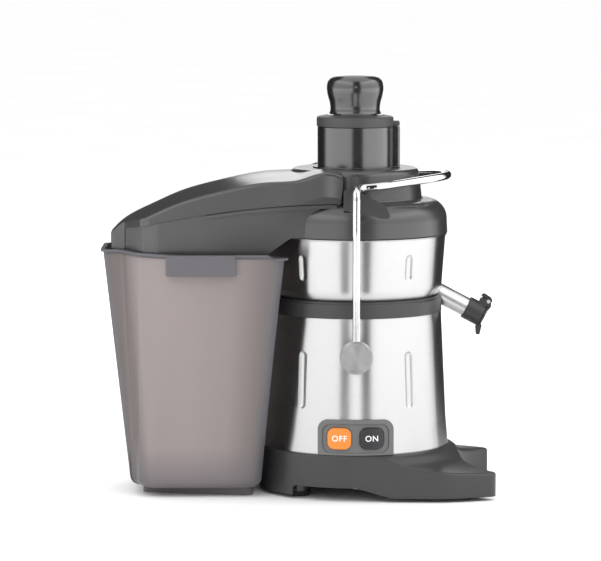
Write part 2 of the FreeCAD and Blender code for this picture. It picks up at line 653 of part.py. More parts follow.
def container_block(inset, low, high, round_radius=0.0):
    """The container's form between two heights, with a rounded lower edge, hollowed towards the machine."""
    steps = [(high, 0.0)]
    if round_radius:
        for turn in (0, 20, 40, 60, 78):
            angle = math.radians(turn)
            steps.append((low + round_radius * (1 - math.sin(angle)), round_radius * (1 - math.cos(angle))))
    else:
        steps.append((low, 0.0))
    wires = [container_plan(z, inset + shrink) for z, shrink in reversed(steps)]
    walls = Part.makeLoft(wires, True, True)
    hollow = CONTAINER_HOLLOW + inset
    far = hollow + 80
    tool = [(0, high + 1), (hollow, high + 1), (hollow, low, round_radius), (far, low), (far, low - 9), (0, low - 9)]
    return walls.cut(spun(tool))


def machine_side(low):
    """The space from a height up, over the part of the rim that passes under the chute."""
    return fused([cylinder(CONTAINER_HOLLOW + 9, low, 330), box((-104, -40), (-200, 200), (low, 330))])


def rim_drop():
    """The space above the lowered part of the rim, on the side that faces the machine."""
    low = RIM_LOW_Z
    step = side_solid([(-111, 330), (-111, RIM_Z), (-104, low, 3), (-40, low), (-40, 330)], -200, 200)
    return fused([step, machine_side(low)])


def container_grip():
    """A finger grip: a skirt that turns down from the rim, clear of the wall."""
    grip = [(-239.5, -OUTER_Y, 5), (-151, -OUTER_Y, 5), (-151, -112), (-239.5, -112)]
    body = plan_solid(grip, RIM_Z - 26, RIM_Z - 0.3)
    low_edges = edges_where(body, lambda c, e: c.y < -OUTER_Y + 0.1 and c.z > RIM_Z - 1)
    body = body.makeFillet(2.2, low_edges)
    pocket = [(-236.8, -OUTER_Y + WALL, 3), (-153.7, -OUTER_Y + WALL, 3), (-153.7, -100), (-236.8, -100)]
    return body.cut(plan_solid(pocket, RIM_Z - 40, RIM_Z - 3.2))


def pulp_container():
    outer = container_block(0, CONTAINER_FLOOR, RIM_Z, 12.0)
    inner = container_block(WALL, CONTAINER_FLOOR + WALL, RIM_Z + 1, 10.0)
    lip = container_block(-3.0, RIM_Z - 3, RIM_Z).cut(rim_drop())
    low_lip = container_block(-3.0, RIM_LOW_Z - 3, RIM_LOW_Z).common(machine_side(RIM_LOW_Z - 4))
    grips = [grip.cut(container_block(0.1, RIM_Z - 40, RIM_Z + 5)) for grip in both_sides(container_grip())]
    body = fused([outer, lip, low_lip] + grips).cut(rim_drop()).cut(inner)
    foot = both_halves([(-273, -42, 10), (-131, -70, 10)])
    foot_in = both_halves([(-270.5, -40, 8), (-133.5, -67, 8)])
    plinth = plan_solid(foot, 0, CONTAINER_FLOOR + 0.6).cut(plan_solid(foot_in, -1, CONTAINER_FLOOR + 0.6))
    return fused([body, plinth])


# ---- bail ----------------------------------------------------------------------------------------------------------
def bail_handle():
    """One bent rod: up from a knob, in over the lid's lug, round the boss to the tip, and back the same way."""
    top = PIVOT_Z + 211
    half = [(vec(0, -BAIL_Y, PIVOT_Z + 7), 0), (vec(0, -BAIL_Y, top), 13), (vec(0, -93, top), 15),
            (vec(32, -93, top + 2.5), 45)]
    tip = [(vec(150.7, 0, top + 14), 51)]
    back = [(vec(p.x, -p.y, p.z), r) for p, r in reversed(half)]
    path = rounded_path(half + tip + back, False)
    section = Part.Wire([Part.makeCircle(BAIL_ROD_RADIUS, half[0][0], UP)])
    return path.makePipeShell([section], True, False)


def pivot_knob(side):
    profile = [(0, 119.8), (KNOB_RADIUS - 1.5, 119.8), (KNOB_RADIUS, 121.3), (KNOB_RADIUS, OUTER_Y - 1.8, 0.8),
               (KNOB_RADIUS - 1.8, OUTER_Y, 0.6), (KNOB_RADIUS - 3.2, OUTER_Y, 0.3), (KNOB_RADIUS - 3.8, OUTER_Y - 0.7, 0.3),
               (0, OUTER_Y - 0.7)]
    wire = rounded_path(corner_list(profile, lambda r, y: vec(r, -y, PIVOT_Z)), True)
    knob = Part.Face(wire).revolve(vec(0, 0, PIVOT_Z), vec(0, 1, 0), 360)
    knob = knob.cut(rod(vec(0, -BAIL_Y, PIVOT_Z + 6.9), vec(0, -BAIL_Y, PIVOT_Z + 60), BAIL_ROD_RADIUS))
    knob = knob.cut(rod(vec(0, -OUTER_Y + 4, PIVOT_Z), vec(0, -100, PIVOT_Z), 5.06))
    return knob if side < 0 else mirrored(knob)


def pivot_studs():
    stud = rod(vec(0, -OUTER_Y + 4.3, PIVOT_Z), vec(0, -100, PIVOT_Z), 5.0)
    washer = rod(vec(0, -119.5, PIVOT_Z), vec(0, -112, PIVOT_Z), 9.0)
    washer = washer.cut(housing_block(0.02, BASE_TOP, BAND_BOTTOM))
    return Part.makeCompound(both_sides(fused([stud, washer])))


def pivot_nuts():
    corners = [polar(8.0, 60 * i) for i in range(6)]
    face = Part.Face(Part.makePolygon([vec(p.x, -110.5, p.y + PIVOT_Z) for p in corners + corners[:1]]))
    nut = face.extrude(vec(0, 6, 0)).cut(rod(vec(0, -120, PIVOT_Z), vec(0, -95, PIVOT_Z), 5.0))
    return Part.makeCompound(both_sides(nut))


# ---- rotor and sieve -----------------------------------------------------------------------------------------------
def motor_shaft():
    body = cylinder(SHAFT_RADIUS, 66, SIEVE_FLOOR + 6)
    end = cylinder(SHAFT_RADIUS - 1, SIEVE_FLOOR + 6, SIEVE_FLOOR + 9)
    shoulder = ring(7.5, SHAFT_RADIUS, 96.5, 112)
    return fused([body, end, shoulder])


def rotor_core():
    core = ring(ROTOR_RADIUS, SHAFT_RADIUS, STATOR_BOTTOM, STATOR_TOP)
    rings = [ring(ROTOR_RADIUS - 3, 22, STATOR_BOTTOM - 5, STATOR_BOTTOM), ring(ROTOR_RADIUS - 3, 22, STATOR_TOP, STATOR_TOP + 5)]
    return fused([core] + rings)


def cooling_fan():
    hub = ring(14, SHAFT_RADIUS, 68, 82)
    disc = ring(54, 13, 80, 81.6)
    blade = box((16, 53), (-0.9, 0.9), (69, 81))
    return fused([hub, disc] + around(blade, 9))


def drive_pins(radius, low, high):
    """The three pins that drive the sieve, or with a larger radius the holes for them."""
    return [cylinder(radius, low, high, p.x, p.y) for p in (polar(24, angle) for angle in (0, 120, 240))]


def drive_coupling():
    hub = ring(17.0, SHAFT_RADIUS, 250, SIEVE_FLOOR - 4)
    plate = ring(34, SHAFT_RADIUS, SIEVE_FLOOR - 4, SIEVE_FLOOR - 1)
    return fused([hub, plate] + drive_pins(3.0, SIEVE_FLOOR - 1, SIEVE_FLOOR + 1.9))


def filter_basket():
    """A conical sieve with rows of slots, a flat floor ring and a turned-out rim."""
    wall = spun([(18, SIEVE_FLOOR - 1), (61, SIEVE_FLOOR - 1, 3), (104.6, SIEVE_TOP), (108.6, SIEVE_TOP),
                 (108.6, SIEVE_TOP + 1.1), (103.8, SIEVE_TOP + 1.1), (60.3, SIEVE_FLOOR, 2), (18, SIEVE_FLOOR)])
    lean = math.degrees(math.atan2(104.6 - 61, SIEVE_TOP - SIEVE_FLOOR + 1))
    slot = box((-8, 8), (-1.2, 1.2), (-8, 8))
    slot.rotate(ORIGIN, vec(0, 1, 0), lean)
    for step in (0.2, 0.5, 0.8):
        z = SIEVE_FLOOR + step * (SIEVE_TOP - SIEVE_FLOOR)
        r = 61 + step * (104.6 - 61)
        row = around(slot.translated(vec(r, 0, z)), 24, 7.5 * step)
        wall = wall.cut(Part.makeCompound(row))
    return wall.cut(Part.makeCompound(drive_pins(3.2, 200, 300)))


def grater_disc():
    disc = ring(57, SHAFT_RADIUS + 0.05, SIEVE_FLOOR, SIEVE_FLOOR + 2)
    tooth = Part.makeWedge(0, 0, 0, 0.6, 1.0, 2.4, 2, 1.6, 2.4, 1.4)
    teeth = []
    for radius, count in ((30, 18), (38, 24), (46, 30), (53, 36)):
        teeth += around(tooth.translated(vec(radius, 0, SIEVE_FLOOR + 1.6)), count)
    return fused([disc] + teeth).cut(Part.makeCompound(drive_pins(3.05, 200, SIEVE_FLOOR + 1.95)))


def basket_nut():
    nut = ring(13, SHAFT_RADIUS, SIEVE_FLOOR + 2, SIEVE_FLOOR + 6)
    flutes = [cylinder(2.2, 200, 300, p.x, p.y) for p in (polar(14.2, 45 * i) for i in range(8))]
    return nut.cut(Part.makeCompound(flutes))


# ---- motor frame and electrics -------------------------------------------------------------------------------------
LOWER_BEARING = 86.0
UPPER_BEARING = 188.0
BEARING_WIDTH = 10.0
LOWER_SHIELD = 84.0
UPPER_SHIELD = 188.0
SHIELD_PLATE = 5.0
BOLTS_AT = [polar(60, 45 + 90 * i) for i in range(4)]
MOUNTS_AT = [polar(82, 45 + 90 * i) for i in range(4)]


def end_shield(low, seat):
    """A spoked cover for one end of the motor, with a pocket for its bearing."""
    plate = ring(STATOR_RADIUS + 4, 17.5, low, low + SHIELD_PLATE)
    window = ring(48, 28, low - 1, low + SHIELD_PLATE + 1)
    spoke = box((20, 60), (-6, 6), (low, low + SHIELD_PLATE)).cut(cylinder(20, low - 1, low + SHIELD_PLATE + 1))
    hub = ring(22, 17.5, seat, seat + BEARING_WIDTH)
    shield = fused([plate.cut(window), hub] + around(spoke, 4))
    holes = [cylinder(2.6, low - 5, low + 20, p.x, p.y) for p in BOLTS_AT]
    return shield.cut(Part.makeCompound(holes))


def upper_end_shield():
    """The upper cover also has four lugs, which hang from the rubber mounts."""
    lugs = around(box((63.5, 90), (-8, 8), (UPPER_SHIELD, UPPER_SHIELD + SHIELD_PLATE)), 4, 45)
    return fused([end_shield(UPPER_SHIELD, UPPER_BEARING)] + lugs)


def motor_can():
    """The sleeve that holds the stator between the end shields."""
    return ring(STATOR_RADIUS + 4, STATOR_RADIUS, LOWER_SHIELD + SHIELD_PLATE, UPPER_SHIELD)


def stator_core():
    core = ring(STATOR_RADIUS, ROTOR_RADIUS + 0.6, STATOR_BOTTOM, STATOR_TOP)
    holes = [cylinder(2.6, 90, 200, p.x, p.y) for p in BOLTS_AT]
    return core.cut(Part.makeCompound(holes))


def stator_windings():
    def end_turns(low):
        return spun([(39, low, 3), (56, low, 5), (56, low + 13, 5), (39, low + 13, 3)])
    return Part.makeCompound([end_turns(STATOR_BOTTOM - 13), end_turns(STATOR_TOP)])


def motor_bolts():
    top = UPPER_SHIELD + SHIELD_PLATE
    bolts = [fused([cylinder(2.5, 82, 196, p.x, p.y), cylinder(4.5, top, 196.5, p.x, p.y)]) for p in BOLTS_AT]
    return Part.makeCompound(bolts)


def bearing_outer(low):
    return ring(17.5, 14, low, low + BEARING_WIDTH)


def bearing_inner(low):
    return ring(9, SHAFT_RADIUS, low, low + BEARING_WIDTH)


def bearing_balls():
    balls = []
    for low in (LOWER_BEARING, UPPER_BEARING):
        for i in range(8):
            balls.append(Part.makeSphere(2.4, polar(11.5, 45 * i, low + BEARING_WIDTH / 2)))
    return Part.makeCompound(balls)


def motor_hanger():
    """The plate under the deck that the motor hangs from."""
    plate = ring(98, 30, 214, 217)
    return fused([plate] + [cylinder(9, 199, 214, p.x, p.y) for p in MOUNTS_AT])


def motor_mounts():
    """Rubber bushes between the hanger and the upper end shield."""
    return Part.makeCompound([cylinder(8, 193, 199, p.x, p.y) for p in MOUNTS_AT])


def deck_posts():
    posts = [cylinder(6, 217, 238, p.x, p.y) for p in (polar(78, 90 * i) for i in range(4))]
    return Part.makeCompound(posts)


def shaft_seal():
    return spun([(SHAFT_RADIUS + 0.08, 240, 0), (9, 238.2), (14, 238.2), (14, 248.9), (11, 248.9), (11, 241.5),
                 (SHAFT_RADIUS + 0.08, 242.2)])


def capacitor():
    can = cylinder(16, PLATE_HIGH, 78, -78, 40)
    pins = [box((-84, -81), (39, 41), (78, 84)), box((-75, -72), (39, 41), (78, 84))]
    return fused([can.makeFillet(2.0, edges_where(can, lambda c, e: c.z > 77 and e.Length > 90))] + pins)


def terminal_block():
    body = box((-60, -20), (70, 88), (PLATE_HIGH, 36))
    for i in range(4):
        body = body.cut(cylinder(2.2, 30, 40, -55 + 10 * i, 79))
    return body


def interlock_switch():
    body = box((20, 42), (-98, -88), (192, 214))
    lever = box((24, 38), (-101, -98), (208, 210))
    return fused([body, lever])


# ---- all nodes -----------------------------------------------------------------------------------------------------
def main():
    os.makedirs("parts", exist_ok=True)
    shapes = {
        "base": base(),
        "base_plate": base_plate(),
        "base_screws": base_screws(),
        "foot_spacers": foot_spacers(),
        "rubber_feet": rubber_feet(),
        "cord_gland": cord_gland(),
        "motor_housing": motor_housing(),
        "switch_panel": switch_panel(),
        "off_button": button("off"),
        "on_button": button("on"),
        "switch_block": switch_block(),
        "bowl_seat_ring": bowl_seat_ring(),
        "drip_plate": drip_plate(),
        "bowl": bowl(),
        "spout_tube": spout_tube(),
        "spout_sleeve": spout_sleeve(),
        "flap_pin": flap_pin(),
        "spout_flap": spout_flap(),
        "lid": lid(),
        "chute_cover": chute_cover(),
        "feed_tube": feed_tube(),
        "lid_seal": lid_seal(),
        "pusher": pusher(),
        "pusher_foot": pusher_foot(),
        "pulp_container": pulp_container(),
        "bail_handle": bail_handle(),
        "pivot_knob_front": pivot_knob(-1),
        "pivot_knob_rear": pivot_knob(1),
        "pivot_studs": pivot_studs(),
        "pivot_nuts": pivot_nuts(),
        "motor_shaft": motor_shaft(),
        "rotor_core": rotor_core(),
        "cooling_fan": cooling_fan(),
        "drive_coupling": drive_coupling(),
        "filter_basket": filter_basket(),
        "grater_disc": grater_disc(),
        "basket_nut": basket_nut(),
        "lower_end_shield": end_shield(LOWER_SHIELD, LOWER_BEARING),
        "upper_end_shield": upper_end_shield(),
        "motor_can": motor_can(),
        "stator_core": stator_core(),
        "stator_windings": stator_windings(),
        "motor_bolts": motor_bolts(),
        "lower_bearing_outer": bearing_outer(LOWER_BEARING),
        "upper_bearing_outer": bearing_outer(UPPER_BEARING),
        "lower_bearing_inner": bearing_inner(LOWER_BEARING),
        "upper_bearing_inner": bearing_inner(UPPER_BEARING),
        "bearing_balls": bearing_balls(),
        "motor_hanger": motor_hanger(),
        "motor_mounts": motor_mounts(),
        "deck_posts": deck_posts(),
        "shaft_seal": shaft_seal(),
        "capacitor": capacitor(),
        "terminal_block": terminal_block(),
        "interlock_switch": interlock_switch(),
    }
    for name, shape in shapes.items():
        write(name, shape)


main()
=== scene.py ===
"""The looks of a centrifugal juicer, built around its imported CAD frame. Metres, +Z up, front at -Y."""

import bmesh
import bpy
import json
import math
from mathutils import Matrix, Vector


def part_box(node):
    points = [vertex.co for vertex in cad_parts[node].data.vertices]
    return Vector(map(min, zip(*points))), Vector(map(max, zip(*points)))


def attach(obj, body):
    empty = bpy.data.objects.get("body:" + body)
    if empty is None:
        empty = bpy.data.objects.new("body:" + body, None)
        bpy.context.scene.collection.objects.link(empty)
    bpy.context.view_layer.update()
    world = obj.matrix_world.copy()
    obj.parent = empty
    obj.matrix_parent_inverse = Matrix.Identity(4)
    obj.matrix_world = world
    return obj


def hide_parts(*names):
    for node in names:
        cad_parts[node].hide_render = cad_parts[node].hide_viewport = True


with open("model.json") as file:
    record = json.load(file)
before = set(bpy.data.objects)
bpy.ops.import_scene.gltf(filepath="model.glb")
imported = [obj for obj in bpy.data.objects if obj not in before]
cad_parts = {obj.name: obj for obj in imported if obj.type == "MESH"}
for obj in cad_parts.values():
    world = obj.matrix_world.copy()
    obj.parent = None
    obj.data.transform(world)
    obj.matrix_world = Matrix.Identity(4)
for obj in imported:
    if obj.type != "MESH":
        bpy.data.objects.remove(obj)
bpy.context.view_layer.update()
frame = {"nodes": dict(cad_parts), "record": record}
nodes = frame["nodes"]
joints = {joint["name"]: joint for joint in frame["record"]["behaviour"]["joints"]}

# The motor axis is upright at Y = 0. The bail turns about PIVOT, on the same axis.
AXIS_X = joints["rotor_spin"]["pos_m"][0]
PIVOT = joints["bail_swing"]["pos_m"]

# ---- node helpers ---------------------------------------------------------------------------

GRAIN_DEPTH = 0.0002
SCRATCH_DEPTH = 0.0001
FLOW_REPEATS = (9, 9, 14)
PLASTIC_GRAIN = 2200


class Graph:
    """A material's node tree, with short calls for the nodes that the materials below share."""

    def __init__(self, name):
        self.material = bpy.data.materials.new(name)
        self.material.use_nodes = True
        self.tree = self.material.node_tree
        self.shader = self.tree.nodes["Principled BSDF"]

    def node(self, kind, **values):
        made = self.tree.nodes.new(kind)
        for key, value in values.items():
            setattr(made, key, value)
        return made

    def link(self, source, target):
        self.tree.links.new(source, target)

    def set(self, **values):
        """Constants on the shader's own sockets, with underscores for the spaces in their names."""
        for key, value in values.items():
            self.shader.inputs[key.replace("_", " ")].default_value = value

    def feed(self, **sources):
        """Links into the shader's own sockets, named as for set."""
        for key, source in sources.items():
            self.link(source, self.shader.inputs[key.replace("_", " ")])

    def place(self, scale):
        """Object coordinates stretched by a scale for each axis, in repeats per metre."""
        source = self.node("ShaderNodeTexCoord")
        stretch = self.node("ShaderNodeMapping")
        stretch.inputs["Scale"].default_value = scale
        self.link(source.outputs["Object"], stretch.inputs["Vector"])
        return stretch.outputs["Vector"]

    def noise(self, scale, detail=3.0, rough=0.55):
        made = self.node("ShaderNodeTexNoise")
        made.inputs["Scale"].default_value = 1.0
        made.inputs["Detail"].default_value = detail
        made.inputs["Roughness"].default_value = rough
        self.link(self.place(scale), made.inputs["Vector"])
        return made.outputs["Fac"]

    def spread(self, value, low, high, start=0.3, end=0.7):
        """A value between start and end, mapped onto low to high."""
        made = self.node("ShaderNodeMapRange")
        ends = {"From Min": start, "From Max": end, "To Min": low, "To Max": high}
        for name, number in ends.items():
            made.inputs[name].default_value = number
        self.link(value, made.inputs["Value"])
        return made.outputs["Result"]

    def ramp(self, value, stops):
        """Colours along a value, each stop a (place, (red, green, blue))."""
        made = self.node("ShaderNodeValToRGB")
        elements = made.color_ramp.elements
        while len(elements) < len(stops):
            elements.new(0.5)
        for element, (place, colour) in zip(elements, stops):
            element.position = place
            element.color = (*colour, 1.0)
        self.link(value, made.inputs["Fac"])
        return made.outputs["Color"]

    def tones(self, value, colour, low, high, start=0.3, end=0.7):
        """A colour times low where a value is at start, and times high where it is at end."""
        return self.ramp(value, [(start, shade(colour, low)), (end, shade(colour, high))])

    def axis(self, name):
        """One object coordinate, in metres."""
        source = self.node("ShaderNodeTexCoord")
        split = self.node("ShaderNodeSeparateXYZ")
        self.link(source.outputs["Object"], split.inputs["Vector"])
        return split.outputs[name]

    def math(self, operation, *values):
        """Arithmetic on values, any of which may be a plain number."""
        made = self.node("ShaderNodeMath", operation=operation)
        for socket, value in zip(made.inputs, values):
            if isinstance(value, (int, float)):
                socket.default_value = value
            else:
                self.link(value, socket)
        return made.outputs["Value"]

    def blend(self, factor, first, second):
        """A mix of two colours."""
        made = self.node("ShaderNodeMix", data_type="RGBA")
        self.link(factor, made.inputs["Factor"])
        self.link(first, made.inputs["A"])
        self.link(second, made.inputs["B"])
        return made.outputs["Result"]

    def bump(self, height, strength, distance, normal=None):
        made = self.node("ShaderNodeBump")
        made.inputs["Strength"].default_value = strength
        made.inputs["Distance"].default_value = distance
        self.link(height, made.inputs["Height"])
        if normal is not None:
            self.link(normal, made.inputs["Normal"])
        return made.outputs["Normal"]

    def soft_edges(self, radius):
        """Edges that catch the light as moulded or broken edges do."""
        made = self.node("ShaderNodeBevel", samples=4)
        made.inputs["Radius"].default_value = radius
        return made.outputs["Normal"]

    def grain(self, repeats, strength, edge):
        """A fine even grain over softened edges."""
        fine = self.noise((repeats,) * 3, 2.0)
        return self.bump(fine, strength, GRAIN_DEPTH, self.soft_edges(edge))

    def around(self, axis):
        """A tangent that runs around an object axis, for metal that was ground or turned about it."""
        return self.node("ShaderNodeTangent", direction_type="RADIAL", axis=axis).outputs["Tangent"]


def shade(colour, factor):
    return tuple(min(1.0, part * factor) for part in colour)


# ---- materials ------------------------------------------------------------------------------
def moulded(name, colour, roughness, coat=0.0, mottle=0.04, edge=0.0014, gloss=0.5, coat_roughness=0.10):
    """Moulded plastic: a fine spark-eroded grain, faint flow mottling and softened edges."""
    g = Graph(name)
    g.feed(
        Base_Color=g.tones(g.noise(FLOW_REPEATS, 4.0), colour, 1 - mottle, 1 + mottle),
        Roughness=g.spread(g.noise((25, 25, 25)), roughness * 0.93, roughness * 1.08),
        Normal=g.grain(PLASTIC_GRAIN, 0.02, edge),
    )
    g.set(Specular_IOR_Level=gloss, Coat_Weight=coat, Coat_Roughness=coat_roughness, Coat_IOR=1.7)
    return g.material


def brushed(name, colour, roughness):
    """Steel ground around the upright axis, so that its highlights spread along that axis."""
    g = Graph(name)
    line = g.noise((2, 2, 3000), 4.0, 0.7)
    g.feed(
        Base_Color=g.tones(line, colour, 0.988, 1.006, 0.25, 0.75),
        Roughness=g.spread(line, roughness * 0.97, roughness * 1.03),
        Tangent=g.around("Z"),
        Normal=g.bump(line, 0.003, SCRATCH_DEPTH, g.soft_edges(0.0018)),
    )
    g.set(Metallic=1.0, Anisotropic=0.85, Anisotropic_Rotation=0.25)
    return g.material


def turned(name, colour, roughness, centre):
    """A lathe-turned face: fine rings about a centre."""
    g = Graph(name)
    source = g.node("ShaderNodeTexCoord")
    shift = g.node("ShaderNodeMapping")
    shift.inputs["Location"].default_value = (-centre[0], 0, -centre[2])
    shift.inputs["Scale"].default_value = (1, 0, 1)
    g.link(source.outputs["Object"], shift.inputs["Vector"])
    radius = g.node("ShaderNodeVectorMath", operation="LENGTH")
    g.link(shift.outputs["Vector"], radius.inputs[0])
    rings = g.node("ShaderNodeTexNoise", noise_dimensions="1D")
    rings.inputs["Scale"].default_value = 2600.0
    g.link(radius.outputs["Value"], rings.inputs["W"])
    line = rings.outputs["Fac"]
    g.feed(
        Base_Color=g.tones(line, colour, 0.86, 1.08),
        Roughness=g.spread(line, roughness * 0.85, roughness * 1.15),
        Tangent=g.around("Y"),
        Normal=g.bump(line, 0.03, SCRATCH_DEPTH, g.soft_edges(0.0005)),
    )
    g.set(Metallic=1.0, Anisotropic=0.98, Anisotropic_Rotation=0.25)
    return g.material


def polished(name, colour, roughness):
    """Polished rod: nearly a mirror, with faint draw marks and handling haze."""
    g = Graph(name)
    haze = g.noise((70, 70, 40), 4.0)
    draw_marks = g.noise((900, 900, 60), 2.0)
    g.feed(
        Base_Color=g.tones(haze, colour, 0.94, 1.03),
        Roughness=g.spread(haze, roughness * 0.6, roughness * 1.8),
        Normal=g.bump(draw_marks, 0.02, SCRATCH_DEPTH),
    )
    g.set(Metallic=1.0)
    return g.material


def glossy(name, colour, roughness, collar):
    """High-gloss plastic, except over a textured collar between two heights."""
    g = Graph(name)
    height = g.axis("Z")
    above = g.math("GREATER_THAN", height, collar[0])
    band = g.math("MULTIPLY", above, g.math("LESS_THAN", height, collar[1]))
    flow = g.noise(FLOW_REPEATS, 4.0)
    shiny = g.tones(flow, colour, 0.95, 1.05)
    matt = g.tones(flow, colour, 3.9, 4.2)
    wear = g.spread(g.noise((30, 30, 30)), roughness * 0.95, roughness * 1.06)
    g.feed(
        Base_Color=g.blend(band, shiny, matt),
        Roughness=g.math("ADD", wear, g.math("MULTIPLY", band, 0.28)),
        Coat_Weight=g.spread(band, 1.0, 0.0, 0.0, 1.0),
        Normal=g.grain(PLASTIC_GRAIN, 0.012, 0.0008),
    )
    g.set(Specular_IOR_Level=0.8, Coat_Roughness=0.17, Coat_IOR=1.6)
    return g.material


# The container's shape, which its colours follow: its middle, its half length at the foot and what
# that gains per metre up, and where its grips, its rim and its foot are.
CONTAINER_X = -0.131
CONTAINER_HALF = 0.0835
CONTAINER_FLARE = 0.1096
GRIP_Y = 0.1257
RIM_Z = 0.3088
FOOT_LOW, FOOT_HIGH = 0.012, 0.065


def smoky(name):
    """Translucent smoke-tinted plastic: a warmer, lighter middle that is painted light passing through both
    walls, a painted lighter and darker band across it, painted shade that makes the corners cooler and
    darker where the walls are seen edge-on, and a darker cool colour at the grips, at the rim and towards
    the foot.
    """
    g = Graph(name)
    height = g.axis("Z")
    cloud = g.noise((7, 7, 5), 4.0)
    half_length = g.math("MULTIPLY_ADD", height, CONTAINER_FLARE, CONTAINER_HALF)
    across = g.math("DIVIDE", g.math("SUBTRACT", g.axis("X"), CONTAINER_X), half_length)
    # The warm colour is painted light through both walls. The cool colour is painted shade at the corners,
    # and it also colours grips, rim and foot.
    warm, brown, cool = (0.330, 0.280, 0.278), (0.215, 0.185, 0.180), (0.140, 0.134, 0.148)
    # Painted light and shade across the wall: painted light through both walls in the middle, a painted
    # lighter and darker band, and painted shade at the edge-on corners.
    painted_wall_light = g.ramp(g.spread(across, 0.0, 1.0, -1.0, 1.0), [
        (0.0, cool),
        (0.05, shade(brown, 0.9)),
        (0.12, brown),
        (0.18, warm),
        (0.45, shade(warm, 1.04)),
        (0.72, shade(warm, 0.94)),
        (0.90, shade(brown, 0.92)),
        (0.97, cool),
    ])
    edge = g.tones(cloud, cool, 0.95, 1.05, 0.25, 0.75)
    grips = g.math("GREATER_THAN", g.math("ABSOLUTE", g.axis("Y")), GRIP_Y)
    rim = g.math("MAXIMUM", grips, g.math("GREATER_THAN", height, RIM_Z))
    foot = g.spread(height, 0.75, 0.0, FOOT_LOW, FOOT_HIGH)
    g.feed(
        Base_Color=g.blend(g.math("MAXIMUM", rim, foot), painted_wall_light, edge),
        Roughness=g.spread(g.noise((40, 40, 40), 4.0), 0.34, 0.42),
        Normal=g.grain(1800, 0.03, 0.0012),
    )
    g.set(Transmission_Weight=0.25, IOR=1.45)
    return g.material


def rubber(name, colour):
    """Soft matt rubber with a dusty bloom."""
    g = Graph(name)
    bloom = g.noise((120, 120, 120), 5.0, 0.7)
    g.feed(
        Base_Color=g.tones(bloom, colour, 0.85, 1.6, 0.35, 0.8),
        Roughness=g.spread(bloom, 0.62, 0.82),
        Normal=g.grain(1500, 0.12, 0.0005),
    )
    return g.material


def cast(name, colour, metallic, roughness):
    """Cast or laminated metal, with a grain and darker pores."""
    g = Graph(name)
    pores = g.noise((300, 300, 300), 5.0, 0.7)
    g.feed(
        Base_Color=g.tones(pores, colour, 0.75, 1.05, 0.3, 0.6),
        Roughness=g.spread(pores, roughness * 1.2, roughness * 0.85),
        Normal=g.bump(pores, 0.15, GRAIN_DEPTH),
    )
    g.set(Metallic=metallic)
    return g.material


def wound(name):
    """Enamelled copper wire, laid in turns around the motor axis, with painted shade between the turns and
    a painted highlight along each turn.
    """
    g = Graph(name)
    turns = g.node("ShaderNodeTexWave", bands_direction="Z")
    turns.inputs["Scale"].default_value = 1.0
    turns.inputs["Distortion"].default_value = 0.6
    g.link(g.place((40, 40, 260)), turns.inputs["Vector"])
    wire = turns.outputs["Fac"]
    g.feed(
        # This ramp paints shade in the grooves between the turns and a highlight on their crowns.
        Base_Color=g.ramp(wire, [(0.2, (0.28, 0.09, 0.03)), (0.7, (0.72, 0.30, 0.13))]),
        Normal=g.bump(wire, 0.6, 0.0005),
    )
    g.set(Metallic=0.8, Roughness=0.35, Coat_Weight=0.5)
    return g.material


def ink(name):
    """White print, slightly worn."""
    g = Graph(name)
    worn = g.noise((700, 700, 700), 4.0)
    g.feed(
        Base_Color=g.ramp(worn, [(0.2, (0.78, 0.78, 0.77)), (0.6, (0.88, 0.88, 0.87))]),
        Roughness=g.spread(worn, 0.45, 0.6),
    )
    return g.material


COLLAR_HEIGHTS = (0.4694, 0.4848)
MATERIALS = {
    "grey_plastic": moulded("grey_plastic", (0.036, 0.0365, 0.0375), 0.36),
    "dark_plastic": moulded("dark_plastic", (0.030, 0.0305, 0.0315), 0.30,
                            coat=0.35, coat_roughness=0.2, gloss=0.6),
    "gloss_plastic": glossy("gloss_plastic", (0.008, 0.008, 0.0085), 0.26, COLLAR_HEIGHTS),
    "black_plastic": moulded("black_plastic", (0.022, 0.022, 0.024), 0.34),
    "panel_plastic": moulded("panel_plastic", (0.125, 0.125, 0.128), 0.42, edge=0.0007),
    "orange_plastic": moulded("orange_plastic", (0.74, 0.225, 0.03), 0.32, mottle=0.03),
    "button_plastic": moulded("button_plastic", (0.022, 0.022, 0.025), 0.32, mottle=0.03),
    "smoke_plastic": smoky("smoke_plastic"),
    "black_rubber": rubber("black_rubber", (0.018, 0.018, 0.019)),
    "brushed_steel": brushed("brushed_steel", (0.60, 0.60, 0.60), 0.28),
    "polished_steel": polished("polished_steel", (0.70, 0.70, 0.70), 0.06),
    "turned_steel": turned("turned_steel", (0.50, 0.50, 0.50), 0.50, PIVOT),
    "zinc_steel": cast("zinc_steel", (0.60, 0.60, 0.61), 1.0, 0.38),
    "cast_aluminium": cast("cast_aluminium", (0.60, 0.60, 0.61), 1.0, 0.45),
    "painted_steel": moulded("painted_steel", (0.12, 0.12, 0.125), 0.4),
    "laminated_iron": cast("laminated_iron", (0.26, 0.25, 0.24), 0.9, 0.5),
    "copper": wound("copper"),
    "label_ink": ink("label_ink"),
}
for entry in frame["record"]["subparts"]:
    for slot in nodes[entry["node"]].material_slots:
        slot.material = MATERIALS[entry["material_slot"]]


# ---- pusher ---------------------------------------------------------------------------------
# Outlines are (radius, height) in millimetres, from the top down.
DOME = [(0.0, 538.0), (12.0, 537.7), (22.0, 536.4), (29.5, 533.4), (34.2, 528.6),
        (36.4, 521.5), (36.3, 514.5), (34.9, 507.5), (33.0, 500.5), (32.0, 494.0),
        (32.3, 489.2), (34.2, 485.8), (38.5, 484.0)]
COLLAR = [(45.0, 482.8), (47.6, 482.3), (49.0, 481.2), (49.4, 479.6), (49.4, 470.3), (48.8, 469.6)]
BARREL = [(45.0, 469.6), (45.0, 283.6), (0, 283.6)]
TURNS = 144
EASE_STEPS = 8

# Each block is its lowest corner, its highest corner and the radius of its edges, in metres.
TAB = (0.118, -0.0076, 0.4697), (0.1314, 0.0076, 0.4764), 0.002
KEY = (0.1182, -0.0046, 0.4393), (0.1278, 0.0046, 0.4700), 0.0006


